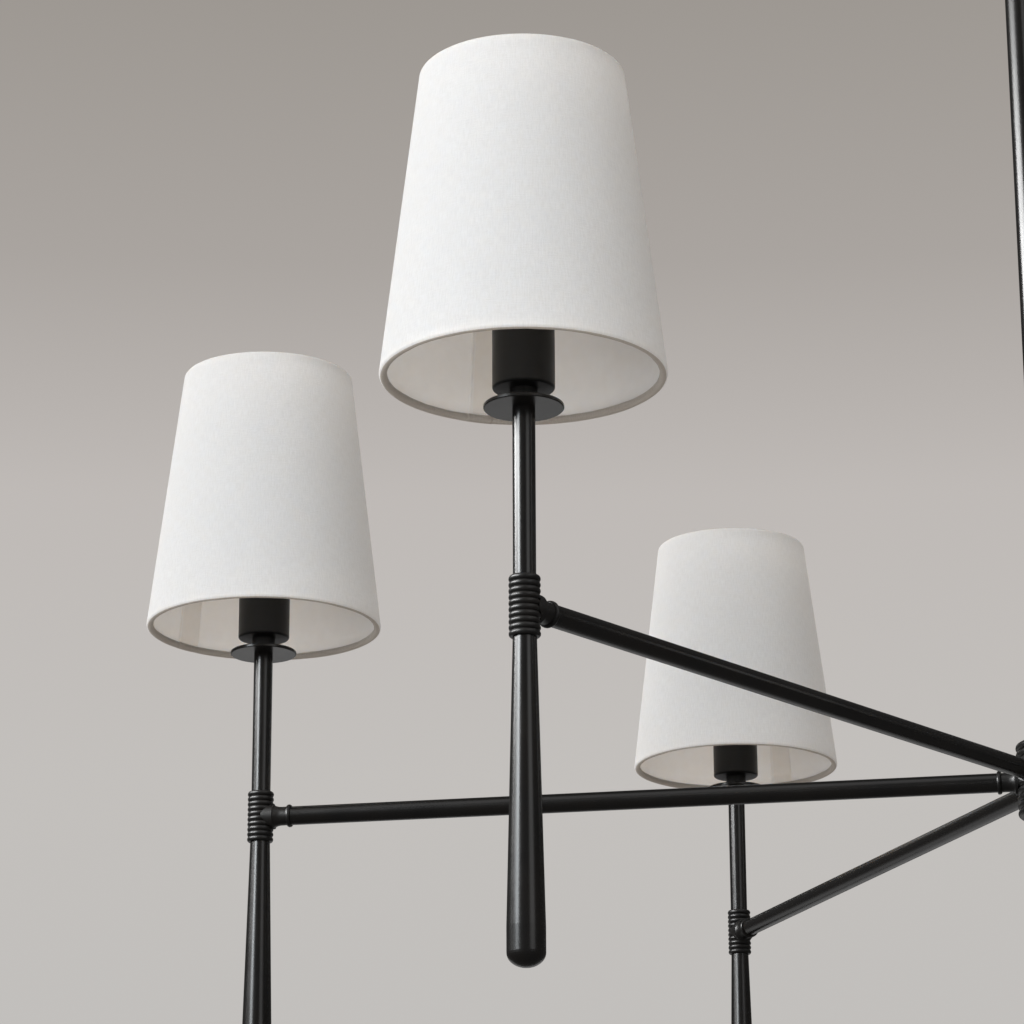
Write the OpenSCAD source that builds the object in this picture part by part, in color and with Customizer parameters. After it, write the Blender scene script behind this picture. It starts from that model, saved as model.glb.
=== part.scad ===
// Chandelier with six upright lamps on straight arms, each lamp with a linen shade,
// a ribbed collar and a long turned baton below it.
// Millimetres, +Z up. The origin is on the ceiling, at the middle of the canopy.

/* [Overall] */
// Number of lamps round the hub
lamp_count = 6; // [3:1:6]
// Ceiling to the centre line of the arms
drop = 640; // [450:5:1200]
// Hub axis to the axis of a lamp
reach = 464; // [300:1:700]

/* [Shade] */
// Diameter at the lower edge
shade_bottom_d = 140; // [120:0.5:220]
// Diameter at the upper edge
shade_top_d = 101.6; // [80:0.1:200]
// Height from edge to edge
shade_h = 158.8; // [140:0.1:260]
// Lower edge of the shade to the underside of its fitter ring
fitter_rise = 31.4; // [12:0.1:60]
// Linen and liner together
shade_wall = 0.75; // [0.5:0.05:2]
// Linen rolled round a ring
hem_wall = 0.45; // [0.4:0.05:2]
// Wire of the upper and the lower ring
ring_wire_d = 2.2; // [1.6:0.1:4]
// Wire of the spokes
spoke_d = 2; // [1.2:0.1:3]
// Number of spokes
spoke_count = 3; // [3:1:5]
// Thickness of the fitter ring
fitter_t = 1.5; // [1:0.1:3]

/* [Lampholder] */
// Diameter of the smooth lower cover
socket_d = 30.3; // [24:0.1:34]
// Height of the smooth lower cover
socket_h = 35.4; // [20:0.1:50]
// Rounding of the cover's lower edge
socket_edge = 1.3; // [1:0.1:6]
// Neck between the drip disc and the cover
socket_neck_d = 13.5; // [12:0.1:20]
// Height of that neck
socket_neck_h = 7.7; // [4:0.1:20]
// Flange that carries the shade
flange_d = 35; // [32:0.1:45]
// Thickness of the flange
flange_t = 1.8; // [1:0.1:4]
// Threaded skirt above the flange
skirt_d = 28; // [24:0.1:30]
// Height of the skirt
skirt_h = 17.8; // [12:0.1:30]
// Ring nut that holds the shade down
ring_nut_d = 34; // [32:0.1:44]
// Height of the ring nut
ring_nut_h = 5.5; // [3:0.1:9]
// Chamfer of the ring nut
ring_nut_edge = 0.9; // [0.3:0.1:1.2]
// Drip disc under the lampholder
disc_d = 39; // [30:0.5:60]
// Thickness of the drip disc
disc_t = 2; // [1:0.1:5]
// Chamfer of the drip disc
disc_edge = 0.4; // [0.1:0.05:0.45]

/* [Bulb] */
// Widest diameter of the glass
bulb_d = 35; // [25:0.5:38]
// Height of the glass above its cap
bulb_glass_h = 71.5; // [40:0.5:80]
// Cap to the widest place of the glass
bulb_belly_h = 25.7; // [15:0.1:35]
// Glass at its cap
bulb_neck_d = 16.7; // [14:0.1:22]
// Screw cap
bulb_cap_d = 13.9; // [12:0.1:17]
// Height of the screw cap
bulb_cap_h = 26.5; // [20:0.1:30]
// Part of the cap that stands out of the lampholder
bulb_cap_proud = 2.4; // [1:0.1:6]
// Taper from the contact to the thread of the cap
bulb_cap_taper = 5.3; // [2:0.1:8]

/* [Stem and collar] */
// Stem tube
stem_d = 11.1; // [10.6:0.1:16]
// Collar to drip disc
stem_len = 84; // [40:0.1:200]
// Thread at the top of the stem
stem_thread_d = 10; // [9:0.1:10.4]
// Wall of the stem and arm tubes
tube_wall = 1.05; // [0.8:0.05:2]
// Turned ends of the stems, batons and arms, inside the collars and the hub
spigot_d = 8; // [7:0.1:9]
// Length of a turned end in a collar
spigot_len = 9.4; // [6:0.1:10]
// Diameter over the ribs of a collar
collar_d = 15.3; // [14:0.1:24]
// Number of ribs on a collar
rib_count = 10; // [9:1:16]
// Rib to rib
rib_pitch = 3; // [3:0.05:4]
// Round section of a rib
rib_d = 3.4; // [3.4:0.05:4.4]
// Turned off each end of a ribbed sleeve, to leave a flat seat
rib_trim = 0.325; // [0.2:0.025:0.6]

/* [Baton] */
// Diameter under the collar
baton_top_d = 11.5; // [10:0.1:16]
// Widest diameter
baton_low_d = 18.3; // [14:0.1:30]
// Collar to the end of the taper
baton_taper_len = 138.1; // [60:0.1:250]
// Straight length below the taper
baton_straight_len = 12; // [2:0.1:40]
// Height of the rounded end
baton_tip_h = 7; // [3:0.1:15]

/* [Arm] */
// Arm tube
arm_d = 11; // [10.6:0.1:16]
// Bell where an arm meets a collar or the hub
bell_d = 15; // [13:0.1:15.2]
// Waist of the bell
bell_waist_d = 11; // [10.6:0.1:13]
// Straight skirt of the bell beyond the ribs
bell_skirt_len = 0.65; // [0.2:0.05:3]
// Flare from the skirt to the waist
bell_flare_len = 4.7; // [2:0.1:10]
// Ribs to the end of the bell
bell_len = 10.95; // [9.5:0.05:20]
// Diameter over the bead of the bell
bead_d = 13.4; // [12.4:0.1:18]
// Round section of the bead
bead_w = 3; // [2:0.1:4]

/* [Hub] */
// Diameter over the ribs of the hub
hub_d = 46; // [42:0.5:80]
// Number of ribs on the hub
hub_rib_count = 10; // [8:1:14]
// Rib to rib on the hub
hub_rib_pitch = 4.2; // [4:0.05:5]
// Round section of a rib on the hub
hub_rib_d = 4.7; // [4.6:0.05:5.5]
// Wiring space inside the hub
hub_space_d = 30; // [26:0.5:32]
// Height of the wiring space
hub_space_h = 24; // [20:0.5:30]
// Flare from the hub to the rod above and to the finial below
hub_flare_h = 14; // [8:0.5:30]
// Finial under the hub, at its top
finial_top_d = 18; // [16:0.5:24]
// Widest diameter of the finial
finial_low_d = 28; // [20:0.5:40]
// Hub to the end of the finial's taper
finial_taper_len = 130; // [60:0.5:250]
// Straight length below the finial's taper
finial_straight_len = 14; // [4:0.5:40]
// Height of the finial's rounded end
finial_tip_h = 11; // [4:0.5:20]

/* [Rod and swivel] */
// Hanging rod
rod_d = 15.9; // [14.5:0.1:18]
// Wall of the hanging rod
rod_wall = 1.6; // [1:0.1:1.8]
// Thread at both ends of the rod, and on the finial
rod_thread_d = 12; // [11:0.1:13]
// Length of the rod's thread in the swivel
rod_thread_len = 10; // [6:0.5:11]
// Outside of the swivel cup
cup_d = 28; // [27:0.1:34]
// Wall of the swivel cup
cup_wall = 3; // [2.4:0.1:3.4]
// Roof of the swivel cup
cup_roof = 4; // [3:0.1:6]
// Rounding of the cup's upper edge
cup_edge = 1.5; // [0.5:0.1:2.5]
// Top of the cup to the tilting axis
cup_axis_depth = 18.7; // [17:0.1:26]
// Cup below the tilting axis
cup_lip = 8; // [6:0.1:8.5]
// Knuckle inside the cup, along the tilting axis
knuckle_w = 14; // [12:0.1:14.5]
// Rounded eye of the knuckle
knuckle_eye_d = 12; // [10:0.1:12.5]
// Neck of the knuckle
knuckle_neck_d = 10; // [8:0.1:10.5]
// Tilting axis to the knuckle's shoulder
knuckle_neck_len = 15; // [14:0.1:20]
// Shoulder of the knuckle to the rod
knuckle_body_len = 18; // [16:0.1:30]
// Flare from the neck to the full width of the knuckle's body
knuckle_flare_len = 6; // [2:0.1:7]
// Screws that the knuckle tilts on
pivot_d = 5; // [4:0.1:6]
// Length of a pivot inside the knuckle
pivot_grip = 2.6; // [2:0.1:3]
// Head of a pivot screw
pivot_head_d = 8; // [7:0.1:9]
// Height of that head
pivot_head_h = 1.6; // [1:0.1:2]

/* [Canopy] */
// Diameter of the canopy
canopy_d = 127; // [122:0.5:160]
// Height of the canopy
canopy_h = 25; // [20:0.5:50]
// Sheet metal of the canopy
canopy_wall = 1.2; // [0.8:0.1:2]
// Rounded shoulder of the canopy
canopy_edge = 15; // [4:0.5:18]
// Threaded tube through the canopy
nipple_d = 10; // [9:0.1:12]
// Collar at the foot of that tube, which carries the swivel cup
nipple_foot_d = 18; // [15:0.1:20]
// Height of that collar
nipple_foot_h = 2.5; // [1.5:0.1:4]
// Top of the tube below the ceiling
nipple_inset = 0.6; // [0.2:0.1:1]
// Knurled ring that holds the canopy up
lock_ring_d = 30; // [20:0.5:40]
// Height of that ring
lock_ring_h = 8; // [5:0.5:14]
// Chamfer of the ring
lock_ring_edge = 1; // [0.4:0.1:2]
// Number of flutes round the ring
flute_count = 24; // [12:1:36]
// Width of a flute
flute_d = 2; // [1:0.1:2.4]
// Length of the mounting strap
strap_len = 114; // [110:0.5:116]
// Width of the mounting strap
strap_w = 20; // [18:0.5:30]
// Thickness of the mounting strap
strap_t = 2; // [1.5:0.1:4]
// Distance between the strap's slots
slot_spacing = 88.9; // [80:0.1:89]
// Width of a slot
slot_w = 5.2; // [4.2:0.1:6]
// Length of a slot, end to end
slot_len = 14; // [8:0.5:16]

/* [Wiring] */
// Lamp wire
wire_d = 3; // [2:0.1:3.4]
// Bend of a lamp wire inside a collar
wire_bend = 4; // [3.6:0.1:4.2]
// Supply cable inside the rod
cable_d = 4.4; // [3:0.1:4.8]
// Terminal block inside the hub
block_d = 18; // [16:0.5:20]
// Height of the terminal block
block_h = 16; // [12:0.5:18]
// Depth of a wire in the terminal block
block_entry = 3; // [2:0.1:4]

/* [Fits] */
// Radial gap of pieces that are screwed or pressed together
fit_gap = 0.05; // [0.02:0.01:0.1]
// Radial gap of a pivot
pivot_gap = 0.05; // [0.02:0.01:0.1]
// Gap between pieces that turn past each other
turn_gap = 0.3; // [0.2:0.05:0.5]
// Gap round a ring wire inside its hem
hem_gap = 0.2; // [0.1:0.05:0.3]
// Gap round a wire in its bore
wire_gap = 0.6; // [0.3:0.1:0.7]
// Gap round a bulb cap
cap_gap = 0.35; // [0.2:0.05:0.6]

/* [Hidden] */
$fn = 64;

lamps = [1:lamp_count];

LAMP_NODES = ["arm", "collar", "stem", "baton", "socket", "shade", "shade_frame"];
GROUP_NODES = ["arm_bells", "drip_discs", "shade_ring_nuts", "bulb_caps", "bulb_glass", "wires"];
CENTRE_NODES = [
    "mounting_strap", "nipple", "canopy", "lock_ring", "swivel_head", "swivel_pins",
    "swivel_knuckle", "downrod", "hub", "hub_baton", "terminal_block"
];
NODES = concat(
    CENTRE_NODES,
    GROUP_NODES,
    [for (piece = LAMP_NODES) for (k = lamps) str(piece, "_", k)]
);
node = "all";

black = "#23211f";
plastic_black = "#2e2c2a";
linen = "#f1efea";
steel = "#b9b8b4";
opal = "#f4f1e8";
copper = "#7a4a2c";

// Heights on a lamp, measured from the centre line of the arms
collar_half = sleeve_half(rib_count, rib_pitch, rib_d);
disc_z = collar_half + stem_len;
neck_z = disc_z + disc_t;
socket_z = neck_z + socket_neck_h;
flange_z = socket_z + socket_h;
fitter_z = flange_z + flange_t;
ring_nut_z = fitter_z + fitter_t + turn_gap;
skirt_z = fitter_z + skirt_h;
shade_z = fitter_z - fitter_rise;
shade_top_z = shade_z + shade_h;
cap_z = skirt_z + bulb_cap_proud - bulb_cap_h;

// Thread of a stem, up to the wire space in the lampholder's base
stem_thread_len = disc_t + socket_neck_h + socket_edge;
wire_pocket = 4;

// Exponents of the glass above its widest place: how full it is, and how pointed
flame_fullness = 2.2;
flame_point = 0.8;

// Contact at the bottom of the lampholder
contact_h = 1.2;
contact_d = 6;

// Bores for the wiring
wire_bore = wire_d + 2 * wire_gap;
cable_bore = cable_d + 2 * wire_gap;
tube_plug = 5;

// Rings and hems of a shade
hem_bore = max(ring_wire_d, spoke_d) / 2 + hem_gap;
hem_r = hem_bore + hem_wall;
hem_step = 0.05;
hem_edge = 0.3;
low_ring_z = shade_z + hem_r;
top_ring_z = shade_top_z - hem_r;
spoke_foot_r = max(ring_nut_d, flange_d) / 2 + turn_gap + spoke_d;
spoke_foot_z = fitter_z + fitter_t / 2;
fitter_r = spoke_foot_r + spoke_d;

// Heights at the centre, measured from the arms
hub_half = sleeve_half(hub_rib_count, hub_rib_pitch, hub_rib_d);
hub_end = hub_half + hub_flare_h;
block_low = -block_h / 2;

// Heights at the ceiling
arm_z = -drop;
canopy_z = -canopy_h;
lock_ring_z = canopy_z - lock_ring_h;
cup_z = lock_ring_z - turn_gap;
foot_z = cup_z - cup_roof;
pivot_z = cup_z - cup_axis_depth;
cup_end_z = pivot_z - cup_lip;
shoulder_z = pivot_z - knuckle_neck_len;
rod_z = shoulder_z - knuckle_body_len;
hub_top_z = arm_z + hub_end;
pivot_in = knuckle_w / 2 - pivot_grip;
pivot_seat = cup_d / 2 - pivot_head_h - turn_gap;

arc_steps = 10;

// Length by which a cut runs past the face that it starts from
cut = 1;

// Half the height of a ribbed sleeve whose ends are turned flat
function sleeve_half(count, pitch, section) = ((count - 1) * pitch + section) / 2 - rib_trim;

// Points of an arc about c, from angle a0 to angle a1
function arc(c, r, a0, a1) =
    [for (i = [0:arc_steps]) let (a = a0 + (a1 - a0) * i / arc_steps) c + r * [cos(a), sin(a)]];

// Quarter of an ellipse from its side down to its lowest point on the axis
function rounded_end(r, h, z) =
    [for (i = [0:arc_steps]) let (a = 90 * i / arc_steps) [i == arc_steps ? 0 : r * cos(a), z - h * sin(a)]];

// Concave flare between two radii, as a quarter of an ellipse
function flare(r0, z0, r1, z1) =
    [for (i = [0:arc_steps]) let (a = 90 * i / arc_steps)
        [r1 + (r0 - r1) * (1 - sin(a)), z0 + (z1 - z0) * (1 - cos(a))]];

// Outer radius of a shade at a height
function shade_r(z) =
    (shade_bottom_d + (shade_top_d - shade_bottom_d) * (z - shade_z) / shade_h) / 2;

// Radius of the ring wire in the hem at a height
function ring_r(z) = shade_r(z) - shade_wall - hem_step - hem_bore;

function shown(name) = node == "all" || node == name;

module at_lamp(k) {
    rotate([0, 0, (k - 1) * 360 / lamp_count])
        translate([reach, 0, arm_z])
            children();
}

module at_arm(k) {
    rotate([0, 0, (k - 1) * 360 / lamp_count])
        translate([0, 0, arm_z])
            rotate([0, 90, 0])
                children();
}

module turned(points) {
    rotate_extrude()
        polygon(points);
}

// Tube with a turned end at each side, from 0 to len along Z
module spigot_tube(d, len, wall, low_d, low_len, top_d, top_len, bore) {
    low_r = low_d / 2 - fit_gap;
    top_r = top_d / 2 - fit_gap;
    inner_r = d / 2 - wall;
    turned([
        [low_r, -low_len], [low_r, 0], [d / 2, 0], [d / 2, len],
        [top_r, len], [top_r, len + top_len], [bore / 2, len + top_len],
        [bore / 2, len - tube_plug], [inner_r, len - tube_plug],
        [inner_r, tube_plug], [bore / 2, tube_plug], [bore / 2, -low_len]
    ]);
}

// Section of stacked round ribs, trimmed flat at both ends
module rib_section(d, count, pitch, section) {
    half = sleeve_half(count, pitch, section);
    centre_r = (d - section) / 2;
    intersection() {
        union()
            for (i = [0:count - 1])
                translate([centre_r, (i - (count - 1) / 2) * pitch])
                    circle(d = section);
        translate([0, -half])
            square([d, 2 * half]);
    }
}

// Baton that hangs from z = 0, with a turned end above it
module hanging_baton(top_d, low_d, taper_len, straight_len, tip_h, end_d, end_len) {
    end_r = end_d / 2 - fit_gap;
    turned(concat(
        [[0, end_len], [end_r, end_len], [end_r, 0], [top_d / 2, 0], [low_d / 2, -taper_len]],
        rounded_end(low_d / 2, tip_h, -taper_len - straight_len)
    ));
}

// Bell on an arm, seated on a ribbed sleeve of diameter seat_d whose axis is at z = 0
module bell(seat_d) {
    seat_r = seat_d / 2;
    start = sqrt(max(pow(seat_r, 2) - pow(bell_d / 2, 2), 0)) - cut;
    skirt_end = seat_r + bell_skirt_len;
    flare_end = skirt_end + bell_flare_len;
    end = seat_r + bell_len;
    bead_z = end - bead_w / 3;
    difference() {
        rotate_extrude()
            difference() {
                union() {
                    polygon(concat(
                        [[0, start], [bell_d / 2, start]],
                        flare(bell_d / 2, skirt_end, bell_waist_d / 2, flare_end),
                        [[bell_waist_d / 2, end], [0, end]]
                    ));
                    intersection() {
                        translate([(bead_d - bead_w) / 2, bead_z])
                            circle(d = bead_w);
                        translate([0, start])
                            square([bead_d, end - start]);
                    }
                }
                translate([0, start - cut])
                    square([spigot_d / 2 + fit_gap, end - start + 2 * cut]);
            }
        rotate([0, 90, 0])
            cylinder(r = seat_r + fit_gap, h = 2 * bell_d, center = true);
    }
}

module mounting_strap() {
    color(steel)
        difference() {
            translate([0, 0, -strap_t])
                linear_extrude(strap_t)
                    difference() {
                        union() {
                            square([strap_len - strap_w, strap_w], center = true);
                            for (side = [-1, 1])
                                translate([side * (strap_len - strap_w) / 2, 0])
                                    circle(d = strap_w);
                        }
                        for (side = [-1, 1])
                            translate([side * slot_spacing / 2, 0]) {
                                square([slot_len - slot_w, slot_w], center = true);
                                for (end = [-1, 1])
                                    translate([end * (slot_len - slot_w) / 2, 0])
                                        circle(d = slot_w);
                            }
                    }
            translate([0, 0, -strap_t - cut])
                cylinder(r = nipple_d / 2 + fit_gap, h = strap_t + 2 * cut);
        }
}

module nipple() {
    foot_end = foot_z - nipple_foot_h;
    color(steel)
        turned([
            [cable_bore / 2, -nipple_inset], [nipple_d / 2, -nipple_inset],
            [nipple_d / 2, foot_z], [nipple_foot_d / 2, foot_z],
            [nipple_foot_d / 2, foot_end], [cable_bore / 2, foot_end]
        ]);
}

module canopy() {
    hole_r = nipple_d / 2 + fit_gap;
    outer_r = canopy_d / 2;
    edge_r = outer_r - canopy_edge;
    edge_z = canopy_z + canopy_edge;
    color(black)
        turned(concat(
            [[hole_r, canopy_z + canopy_wall], [hole_r, canopy_z]],
            arc([edge_r, edge_z], canopy_edge, -90, 0),
            [[outer_r, 0], [outer_r - canopy_wall, 0]],
            arc([edge_r, edge_z], canopy_edge - canopy_wall, 0, -90)
        ));
}

module lock_ring() {
    outer_r = lock_ring_d / 2;
    edge_r = outer_r - lock_ring_edge;
    bore_r = nipple_d / 2 + fit_gap;
    color(black)
        difference() {
            turned([
                [bore_r, lock_ring_z], [edge_r, lock_ring_z],
                [outer_r, lock_ring_z + lock_ring_edge], [outer_r, canopy_z - lock_ring_edge],
                [edge_r, canopy_z], [bore_r, canopy_z]
            ]);
            for (i = [0:flute_count - 1])
                rotate([0, 0, i * 360 / flute_count])
                    translate([outer_r + flute_d / 4, 0, lock_ring_z - cut])
                        cylinder(d = flute_d, h = lock_ring_h + 2 * cut);
        }
}

module swivel_head() {
    cup_r = cup_d / 2;
    inner_r = cup_r - cup_wall;
    color(black)
        difference() {
            turned(concat(
                [[nipple_d / 2 + pivot_gap, foot_z], [nipple_d / 2 + pivot_gap, cup_z]],
                arc([cup_r - cup_edge, cup_z - cup_edge], cup_edge, 90, 0),
                [[cup_r, cup_end_z], [inner_r, cup_end_z], [inner_r, foot_z]]
            ));
            for (side = [0, 180])
                rotate([0, 0, side])
                    translate([0, 0, pivot_z])
                        rotate([0, 90, 0]) {
                            cylinder(r = pivot_d / 2 + fit_gap, h = cup_d);
                            translate([0, 0, pivot_seat])
                                cylinder(r = pivot_head_d / 2 + fit_gap, h = cup_d);
                        }
        }
}

module swivel_pins() {
    color(steel)
        for (side = [0, 180])
            rotate([0, 0, side])
                translate([0, 0, pivot_z])
                    rotate([0, 90, 0])
                        turned([
                            [0, pivot_in], [pivot_d / 2, pivot_in], [pivot_d / 2, pivot_seat],
                            [pivot_head_d / 2, pivot_seat],
                            [pivot_head_d / 2, pivot_seat + pivot_head_h],
                            [0, pivot_seat + pivot_head_h]
                        ]);
}

module swivel_knuckle() {
    neck_r = knuckle_neck_d / 2;
    body_r = rod_d / 2;
    flare_end = shoulder_z - knuckle_flare_len;
    thread_top = rod_z + rod_thread_len + cut;
    color(black)
        difference() {
            union() {
                translate([0, 0, pivot_z])
                    rotate([0, 90, 0])
                        cylinder(d = knuckle_eye_d, h = knuckle_w, center = true);
                turned(concat(
                    [[0, rod_z], [body_r, rod_z]],
                    flare(body_r, flare_end, neck_r, shoulder_z),
                    [[neck_r, pivot_z - neck_r / 2], [0, pivot_z - neck_r / 2]]
                ));
            }
            translate([0, 0, rod_z - cut]) {
                cylinder(d = cable_bore, h = pivot_z + knuckle_eye_d - rod_z);
                cylinder(d = rod_thread_d, h = thread_top - rod_z + cut);
            }
            for (side = [0, 180])
                rotate([0, 0, side])
                    translate([pivot_in - turn_gap, 0, pivot_z])
                        rotate([0, 90, 0])
                            cylinder(r = pivot_d / 2 + pivot_gap, h = knuckle_w);
        }
}

module downrod() {
    color(black)
        translate([0, 0, hub_top_z])
            spigot_tube(
                rod_d, rod_z - hub_top_z, rod_wall,
                rod_thread_d, hub_end - hub_space_h / 2,
                rod_thread_d, rod_thread_len, cable_bore
            );
}

module hub() {
    core_r = (hub_d - hub_rib_d) / 2;
    bore_r = rod_thread_d / 2;
    flare_low = hub_half - rib_trim / 2;
    top_flare = flare(core_r, flare_low, finial_top_d / 2, hub_end);
    low_flare = [for (i = [len(top_flare) - 1:-1:0]) [top_flare[i].x, -top_flare[i].y]];
    color(black)
        translate([0, 0, arm_z])
            difference() {
                rotate_extrude()
                    difference() {
                        union() {
                            polygon(concat(
                                [[bore_r, -hub_end]], low_flare, top_flare, [[bore_r, hub_end]]
                            ));
                            rib_section(hub_d, hub_rib_count, hub_rib_pitch, hub_rib_d);
                        }
                        translate([0, -hub_space_h / 2])
                            square([hub_space_d / 2, hub_space_h]);
                    }
                for (k = lamps)
                    rotate([0, 90, (k - 1) * 360 / lamp_count])
                        translate([0, 0, hub_space_d / 4])
                            cylinder(d = spigot_d, h = hub_d);
            }
}

module hub_baton() {
    color(black)
        translate([0, 0, arm_z - hub_end])
            hanging_baton(
                finial_top_d, finial_low_d, finial_taper_len, finial_straight_len,
                finial_tip_h, rod_thread_d, hub_end + block_low
            );
}

module terminal_block() {
    color(linen)
        translate([0, 0, arm_z])
            difference() {
                translate([0, 0, block_low])
                    cylinder(d = block_d, h = block_h);
                for (k = lamps)
                    rotate([0, 90, (k - 1) * 360 / lamp_count])
                        translate([0, 0, block_d / 2 - block_entry])
                            cylinder(d = wire_d + 2 * fit_gap, h = block_d);
            }
}

module arm(k) {
    start = hub_d / 2 + bell_len;
    end = reach - collar_d / 2 - bell_len;
    color(black)
        at_arm(k)
            translate([0, 0, start])
                spigot_tube(
                    arm_d, end - start, tube_wall,
                    spigot_d, start - hub_space_d / 2,
                    spigot_d, reach - end - spigot_d / 2 - turn_gap, wire_bore
                );
}

module arm_bells() {
    color(black)
        for (k = lamps) {
            at_arm(k)
                bell(hub_d);
            at_lamp(k)
                rotate([0, -90, 0])
                    bell(collar_d);
        }
}

module collar(k) {
    core_r = (collar_d - rib_d) / 2;
    color(black)
        at_lamp(k)
            difference() {
                rotate_extrude() {
                    translate([spigot_d / 2, -collar_half])
                        square([core_r - spigot_d / 2, 2 * collar_half]);
                    rib_section(collar_d, rib_count, rib_pitch, rib_d);
                }
                rotate([0, -90, 0])
                    cylinder(d = spigot_d, h = collar_d);
            }
}

module stem(k) {
    color(black)
        at_lamp(k)
            translate([0, 0, collar_half])
                spigot_tube(
                    stem_d, stem_len, tube_wall,
                    spigot_d, spigot_len,
                    stem_thread_d, stem_thread_len, wire_bore
                );
}

module baton(k) {
    color(black)
        at_lamp(k)
            translate([0, 0, -collar_half])
                hanging_baton(
                    baton_top_d, baton_low_d, baton_taper_len, baton_straight_len,
                    baton_tip_h, spigot_d, spigot_len
                );
}

module drip_discs() {
    disc_r = disc_d / 2;
    edge_r = disc_r - disc_edge;
    color(black)
        for (k = lamps)
            at_lamp(k)
                turned([
                    [stem_thread_d / 2, disc_z], [edge_r, disc_z],
                    [disc_r, disc_z + disc_edge], [disc_r, neck_z - disc_edge],
                    [edge_r, neck_z], [stem_thread_d / 2, neck_z]
                ]);
}

module socket(k) {
    thread_top = disc_z + stem_thread_len + wire_pocket;
    bore_r = bulb_cap_d / 2 + cap_gap;
    floor_z = cap_z - contact_h;
    cover_r = socket_d / 2;
    color(plastic_black)
        at_lamp(k)
            turned(concat(
                [[stem_thread_d / 2, neck_z], [socket_neck_d / 2, neck_z], [socket_neck_d / 2, socket_z]],
                arc([cover_r - socket_edge, socket_z + socket_edge], socket_edge, -90, 0),
                [
                    [cover_r, flange_z], [flange_d / 2, flange_z], [flange_d / 2, fitter_z],
                    [skirt_d / 2, fitter_z], [skirt_d / 2, skirt_z], [bore_r, skirt_z],
                    [bore_r, floor_z], [contact_d / 2, floor_z], [contact_d / 2, cap_z],
                    [0, cap_z], [0, thread_top], [stem_thread_d / 2, thread_top]
                ]
            ));
}

module shade_ring_nuts() {
    nut_r = ring_nut_d / 2;
    bore_r = skirt_d / 2 + fit_gap;
    nut_top = ring_nut_z + ring_nut_h;
    color(plastic_black)
        for (k = lamps)
            at_lamp(k)
                turned([
                    [bore_r, ring_nut_z], [nut_r, ring_nut_z], [nut_r, nut_top - ring_nut_edge],
                    [nut_r - ring_nut_edge, nut_top], [bore_r, nut_top]
                ]);
}

module bulb_caps() {
    tip_r = contact_d / 2;
    cap_r = bulb_cap_d / 2;
    color(steel)
        for (k = lamps)
            at_lamp(k)
                turned([
                    [0, cap_z], [tip_r, cap_z], [cap_r, cap_z + bulb_cap_taper],
                    [cap_r, cap_z + bulb_cap_h], [0, cap_z + bulb_cap_h]
                ]);
}

module bulb_glass() {
    base_z = cap_z + bulb_cap_h;
    belly_z = base_z + bulb_belly_h;
    tip_z = base_z + bulb_glass_h;
    belly_r = bulb_d / 2;
    base_r = bulb_neck_d / 2;
    swell = [
        for (i = [0:arc_steps]) let (t = i / arc_steps)
            [base_r + (belly_r - base_r) * (1 - cos(180 * t)) / 2, base_z + (belly_z - base_z) * t]
    ];
    flame = [
        for (i = [1:arc_steps]) let (t = i / arc_steps)
            [belly_r * pow(1 - pow(t, flame_fullness), flame_point), belly_z + (tip_z - belly_z) * t]
    ];
    color(opal)
        for (k = lamps)
            at_lamp(k)
                turned(concat([[0, base_z]], swell, flame));
}

// Inner half of a hem, rolled over a ring wire: up is 1 at the upper edge and -1 at the lower
module hem_roll(z, up) {
    translate([ring_r(z), z])
        intersection() {
            circle(r = hem_r);
            translate([-hem_r, up > 0 ? 0 : -hem_r])
                square([hem_r + hem_step, hem_r]);
        }
}

module shade(k) {
    low_r = shade_r(shade_z);
    top_r = shade_r(shade_top_z);
    color(linen)
        at_lamp(k)
            rotate_extrude()
                difference() {
                    union() {
                        polygon([
                            [low_r - hem_edge, shade_z], [low_r, shade_z + hem_edge],
                            [top_r, shade_top_z - hem_edge], [top_r - hem_edge, shade_top_z],
                            [ring_r(top_ring_z), shade_top_z], [ring_r(top_ring_z), top_ring_z],
                            [shade_r(top_ring_z) - shade_wall, top_ring_z],
                            [shade_r(low_ring_z) - shade_wall, low_ring_z],
                            [ring_r(low_ring_z), low_ring_z], [ring_r(low_ring_z), shade_z]
                        ]);
                        hem_roll(low_ring_z, -1);
                        hem_roll(top_ring_z, 1);
                    }
                    for (z = [low_ring_z, top_ring_z])
                        translate([ring_r(z), z])
                            circle(r = hem_bore);
                }
}

module shade_frame(k) {
    rise = top_ring_z - spoke_foot_z;
    spread = ring_r(top_ring_z) - spoke_foot_r;
    spoke_len = sqrt(pow(rise, 2) + pow(spread, 2));
    color(steel)
        at_lamp(k) {
            for (z = [low_ring_z, top_ring_z])
                rotate_extrude()
                    translate([ring_r(z), z])
                        circle(d = ring_wire_d);
            translate([0, 0, fitter_z])
                difference() {
                    cylinder(r = fitter_r, h = fitter_t);
                    translate([0, 0, -cut])
                        cylinder(r = skirt_d / 2 + turn_gap, h = fitter_t + 2 * cut);
                }
            for (i = [0:spoke_count - 1])
                rotate([0, 0, 180 / spoke_count + i * 360 / spoke_count])
                    translate([spoke_foot_r, 0, spoke_foot_z])
                        rotate([0, atan2(spread, rise), 0])
                            cylinder(d = spoke_d, h = spoke_len);
        }
}

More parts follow.
